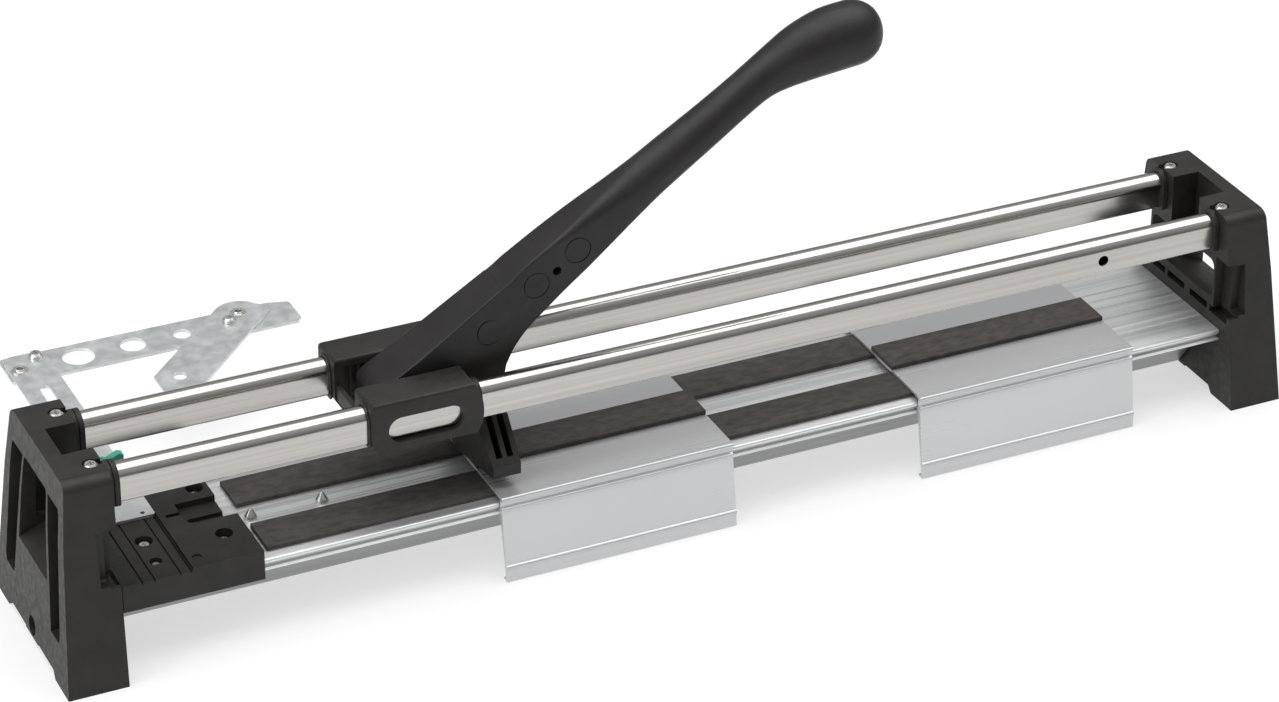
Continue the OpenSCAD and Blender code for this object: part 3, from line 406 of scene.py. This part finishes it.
def grip_section(along, across, turn, above, below, side, roundness):
    """Row of top X and Z, bottom X and Z, half width and roundness."""
    middle = ARM_ALONG * along + ARM_UNDER * across
    slope = radians(ARM_SLOPE + turn)
    up = Vector((-sin(slope), 0, cos(slope)))
    high, low = middle + up * above, middle - up * below
    return [high.x, high.z, low.x, low.z, side, roundness]


def lever_sections():
    """Rows of top X and Z, bottom X and Z, half width and roundness, from the hub to the tip."""
    rows = [[x, top, x, bottom, half_width(x) - (NOSE_DRAW if x < NOSE_X else 0), FLAT_ROUND]
            for x, top, bottom in HUB_SECTIONS]
    arm = []
    for along, across, low_along, low_across in ARM_SECTIONS:
        top = ARM_ALONG * along + ARM_UNDER * across
        low = ARM_ALONG * low_along + ARM_UNDER * low_across
        arm.append([top.x, top.z, low.x, low.z, half_width((top.x + low.x) / 2),
                    FLAT_ROUND + ROUND_GAIN * max(0.0, (along - ROUND_FROM) / ROUND_RUN)])
    rows += arm[:3]
    curve = smooth_through(arm[3:] + [grip_section(*row) for row in GRIP_SECTIONS], SKIN_STEPS)
    along, across, turn, above, below, side, roundness = GRIP_SECTIONS[-1]
    for k in range(1, TIP_RINGS + 1):
        angle = pi / 2 * k / TIP_SPAN
        shrink = cos(angle) ** TIP_FULLNESS
        reach = TIP_RADIUS * sin(angle)
        # the tip goes on along the turned line
        ahead_along = along + reach * cos(radians(turn))
        ahead_across = across - reach * sin(radians(turn))
        curve.append(grip_section(ahead_along, ahead_across, turn,
                                  above * shrink, below * shrink, side * shrink, roundness))
    return rows + curve


def lever_rings():
    """Closed rings of points, in metres, one around each section."""
    rings = []
    for x1, z1, x0, z0, half_w, roundness in lever_sections():
        top, low = Vector((x1, 0, z1)), Vector((x0, 0, z0))
        middle, half = (top + low) / 2, (top - low).length / 2
        up = (top - low).normalized()
        rings.append([LEVER_AT + (middle + up * h + Vector((0, -w, 0))) * MM
                      for w, h in ring_points(half_w, half, half, roundness)])
    return rings


def disc_prism(bm, x, z, radius, y0, y1, sides=32, inner=0.0):
    """Closed prism along Y, or a closed tube if inner is given; mm from the lever's datum."""
    def loop(r, y):
        turns = [2 * pi * k / sides for k in range(sides)]
        return [bm.verts.new(LEVER_AT + Vector((x + r * cos(turn), y, z + r * sin(turn))) * MM)
                for turn in turns]
    outer = loop(radius, y0), loop(radius, y1)
    hole = (loop(inner, y0), loop(inner, y1)) if inner else None
    for k in range(sides):
        n = (k + 1) % sides
        bm.faces.new((outer[0][k], outer[0][n], outer[1][n], outer[1][k]))
        if hole:
            bm.faces.new((hole[0][n], hole[0][k], hole[1][k], hole[1][n]))
            bm.faces.new((outer[0][n], outer[0][k], hole[0][k], hole[0][n]))
            bm.faces.new((outer[1][k], outer[1][n], hole[1][n], hole[1][k]))
    if not hole:
        bm.faces.new(outer[0][::-1])
        bm.faces.new(outer[1])


def carve(piece, cutter_bm):
    """Cuts a bmesh's closed shapes out of a piece, and applies the cut."""
    bmesh.ops.recalc_face_normals(cutter_bm, faces=cutter_bm.faces)
    mesh = bpy.data.meshes.new("cutter")
    cutter_bm.to_mesh(mesh)
    cutter_bm.free()
    cutter = bpy.data.objects.new("cutter", mesh)
    bpy.context.scene.collection.objects.link(cutter)
    cut = piece.modifiers.new("cut", "BOOLEAN")
    cut.operation = "DIFFERENCE"
    cut.solver = "EXACT"
    cut.object = cutter
    bpy.context.view_layer.update()
    made = bpy.data.meshes.new_from_object(piece.evaluated_get(bpy.context.evaluated_depsgraph_get()))
    piece.modifiers.clear()
    piece.data = made
    bpy.data.objects.remove(cutter)
    bpy.data.meshes.remove(mesh)


def make_lever():
    """The lever's moulding, with its hole and its moulding marks."""
    bm = bmesh.new()
    loft(bm, lever_rings())
    piece = make_piece("lever_moulding", bm, lever_plastic(), "lever", ("lever",))
    cutters = bmesh.new()
    x, z, radius = ARM_HOLE
    disc_prism(cutters, x, z, radius, -CUT_REACH, CUT_REACH)
    for x, z in EJECTOR_MARKS:
        skin = half_width(x) - MARK_DEPTH
        for side in (-1, 1):
            disc_prism(cutters, x, z, MARK_OUTER, side * skin, side * CUT_REACH, MARK_SIDES, MARK_INNER)
    carve(piece, cutters)
    split = piece.modifiers.new("sharp", "EDGE_SPLIT")
    split.split_angle = radians(LEVER_SHARP_ANGLE)


# ---------- studio ----------

# Share by which camera and mirror rays see the floor lifted to white, and the floor's radius in metres
FLOOR_LIFT, FLOOR_RADIUS = 0.6, 12
# Brightness of the room, and of its horizon against its ceiling
ROOM_STRENGTH, HORIZON = 0.52, 0.3
# The photo's point of view: place in metres, directions across and ahead, and focal length in mm
CAMERA_AT = (-0.9157, -1.8594, 1.3004)
CAMERA_ACROSS, CAMERA_AHEAD = (0.9033, -0.4290, 0.0113), (0.3760, 0.7785, -0.5026)
CAMERA_LENS = 113.25


def floor_material():
    """Pale floor: it keeps the shadow, and camera and mirror rays see it lifted towards white."""
    mat, tree, shader = new_material("studio_floor", 0.9, specular=0.1)
    shader.inputs["Base Color"].default_value = (0.9, 0.9, 0.9, 1)
    glow = tree.nodes.new("ShaderNodeEmission")
    glow.inputs["Color"].default_value = (1, 1, 1, 1)
    path = tree.nodes.new("ShaderNodeLightPath")
    seen = tree.nodes.new("ShaderNodeMath")
    seen.operation = "MAXIMUM"
    share = tree.nodes.new("ShaderNodeMath")
    share.operation = "MULTIPLY"
    share.inputs[1].default_value = FLOOR_LIFT
    mix = tree.nodes.new("ShaderNodeMixShader")
    links = tree.links
    links.new(path.outputs["Is Camera Ray"], seen.inputs[0])
    links.new(path.outputs["Is Glossy Ray"], seen.inputs[1])
    links.new(seen.outputs[0], share.inputs[0])
    links.new(share.outputs[0], mix.inputs["Fac"])
    links.new(shader.outputs[0], mix.inputs[1])
    links.new(glow.outputs[0], mix.inputs[2])
    links.new(mix.outputs[0], tree.nodes["Material Output"].inputs["Surface"])
    return mat


def make_floor():
    bm = bmesh.new()
    bmesh.ops.create_circle(bm, cap_ends=True, segments=64, radius=FLOOR_RADIUS)
    mesh = bpy.data.meshes.new("studio_floor")
    bm.to_mesh(mesh)
    bm.free()
    floor = bpy.data.objects.new("studio_floor", mesh)
    bpy.context.scene.collection.objects.link(floor)
    mesh.materials.append(floor_material())


def make_world():
    """Soft room: white overhead, greyer at the horizon, white behind the object for the camera."""
    world = bpy.data.worlds.new("studio")
    bpy.context.scene.world = world
    world.use_nodes = True
    tree = world.node_tree
    where = tree.nodes.new("ShaderNodeTexCoord")
    parts = tree.nodes.new("ShaderNodeSeparateXYZ")
    ramp = tree.nodes.new("ShaderNodeValToRGB")
    ramp.color_ramp.elements[0].position = 0.05
    ramp.color_ramp.elements[0].color = (HORIZON, HORIZON, HORIZON, 1)
    ramp.color_ramp.elements[1].position = 0.7
    ramp.color_ramp.elements[1].color = (1, 1, 1, 1)
    room = tree.nodes["Background"]
    room.inputs["Strength"].default_value = ROOM_STRENGTH
    white = tree.nodes.new("ShaderNodeBackground")
    path = tree.nodes.new("ShaderNodeLightPath")
    mix = tree.nodes.new("ShaderNodeMixShader")
    links = tree.links
    links.new(where.outputs["Generated"], parts.inputs[0])
    links.new(parts.outputs["Z"], ramp.inputs["Fac"])
    links.new(ramp.outputs["Color"], room.inputs["Color"])
    links.new(path.outputs["Is Camera Ray"], mix.inputs["Fac"])
    links.new(room.outputs[0], mix.inputs[1])
    links.new(white.outputs[0], mix.inputs[2])
    links.new(mix.outputs[0], tree.nodes["World Output"].inputs["Surface"])


def make_softbox(name, place, target, size, power):
    """Rectangular light aimed at a target; metres and watts."""
    light = bpy.data.lights.new(name, "AREA")
    light.shape = "RECTANGLE"
    light.size, light.size_y = size
    light.energy = power
    lamp = bpy.data.objects.new(name, light)
    lamp.location = place
    lamp.rotation_euler = (Vector(target) - Vector(place)).to_track_quat("-Z", "Y").to_euler()
    bpy.context.scene.collection.objects.link(lamp)


def make_camera():
    """Long lens from the front left, above the rails."""
    camera = bpy.data.cameras.new("camera")
    camera.sensor_width = 36
    camera.lens = CAMERA_LENS
    camera.clip_end = 50
    rig = bpy.data.objects.new("camera", camera)
    across = Vector(CAMERA_ACROSS).normalized()
    ahead = Vector(CAMERA_AHEAD).normalized()
    up = across.cross(ahead)
    turn = Matrix((across, up, -ahead)).transposed().to_4x4()
    rig.matrix_world = Matrix.Translation(CAMERA_AT) @ turn
    bpy.context.scene.collection.objects.link(rig)
    bpy.context.scene.camera = rig


def make_studio():
    make_floor()
    make_world()
    make_softbox("softbox_top", (0, 0.1, 2.3), (0, 0, 0), (5.2, 2.2), 84)
    make_softbox("softbox_left", (-2.4, -0.3, 0.9), (0, 0, 0.08), (1.2, 1.2), 22)
    make_camera()
    bpy.context.scene.view_settings.view_transform = "Standard"


paint_all()
make_lever()
make_studio()
